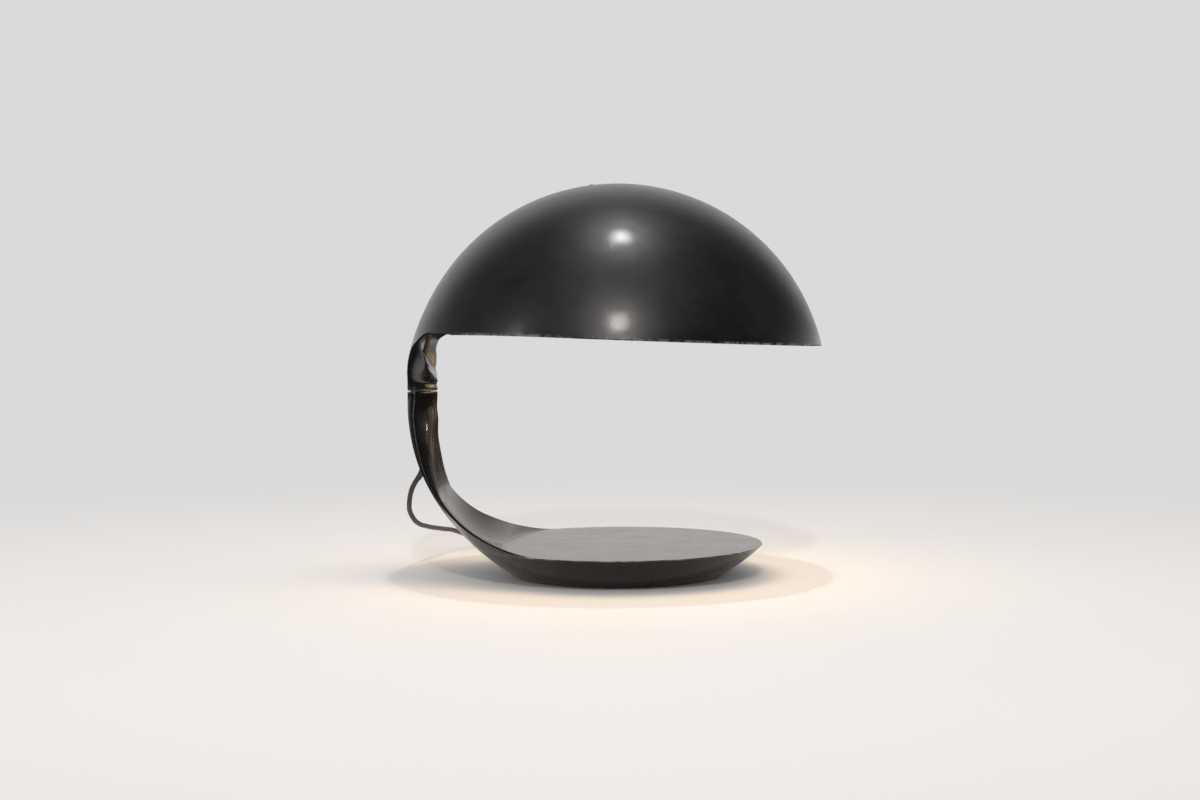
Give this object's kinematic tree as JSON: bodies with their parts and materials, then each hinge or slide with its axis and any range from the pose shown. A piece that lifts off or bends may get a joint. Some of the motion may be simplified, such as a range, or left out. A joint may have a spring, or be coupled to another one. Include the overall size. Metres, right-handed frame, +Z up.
{
  "type": "desk lamp",
  "caption": "Desk lamp with a domed shade that swivels on a curved neck over a dish-shaped foot, with a cord, an in-line switch and a plug.",
  "frame": {"origin": "middle of the round foot, on the surface the lamp stands on", "axes": "+Z up, +X from the neck towards the free edge of the shade, +Y to the side where the cord leaves"},
  "size_m": [0.4192, 0.4448, 0.3877],
  "materials": {
    "resin": "satin black moulded resin, aged, faintly mottled",
    "steel": "zinc-plated steel",
    "brass": "plain turned brass",
    "nickel": "nickel plate",
    "black_plastic": "fine matt black moulding",
    "porcelain": "glazed porcelain",
    "opal": "white opal sheet that spreads the light",
    "bulb_glass": "opal coated bulb glass",
    "iron": "rough cast iron",
    "felt": "dark felt",
    "cord_rubber": "dark grey cord sheath"
  },
  "bodies": {
    "foot": {"lower_body": "resin", "swivel_tube": "steel", "thrust_washer": "steel", "spring_washer": "steel", "stop_pin": "steel", "ballast_bolt": "steel", "base_plate": "steel", "plate_screw_1": "steel", "plate_screw_2": "steel", "plate_screw_3": "steel", "rocker_pin": "steel", "switch_screw_1": "steel", "switch_screw_2": "steel", "neck_insert": "brass", "seam_washer": "brass", "switch_contact": "brass", "ring_nut": "nickel", "plug_pin_1": "nickel", "plug_pin_2": "nickel", "coil_tie": "black_plastic", "switch_lower": "black_plastic", "switch_upper": "black_plastic", "plug_body": "black_plastic", "ballast": "iron", "felt_pad": "felt", "lead_lower": "cord_rubber", "cord_relief": "cord_rubber", "cord_run_1": "cord_rubber", "cord_run_2": "cord_rubber", "cord_run_3": "cord_rubber", "cord_coil": "cord_rubber"},
    "shade": {"shade_shell": "resin", "swivel_bush": "brass", "lampholder_bracket": "steel", "bracket_screw": "steel", "bracket_nut": "nickel", "holder_nipple": "steel", "nipple_nut": "nickel", "holder_cap": "black_plastic", "holder_shell": "black_plastic", "holder_skirt": "black_plastic", "holder_insulator": "porcelain", "centre_contact": "brass", "screw_shell": "brass", "bulb_cap": "nickel", "bulb_glass": "bulb_glass", "diffuser": "opal", "diffuser_clip_1": "nickel", "diffuser_clip_2": "nickel", "diffuser_clip_3": "nickel", "clip_screw_1": "steel", "clip_screw_2": "steel", "clip_screw_3": "steel", "lead_upper": "cord_rubber", "lead_saddle_1": "black_plastic", "lead_saddle_2": "black_plastic"},
    "rocker": {"switch_rocker": "black_plastic"}
  },
  "joints": [
    {"name": "shade_swivel", "type": "hinge", "parent": "foot", "child": "shade", "pos_m": [-0.1945, 0, 0.184], "axis": [0, 0, 1], "range_deg": [-160, 160]},
    {"name": "switch_rocker", "type": "hinge", "parent": "foot", "child": "rocker", "pos_m": [-0.075, 0.2327, 0.0105], "axis": [0, 1, 0], "range_deg": [-14, 0]}
  ]
}
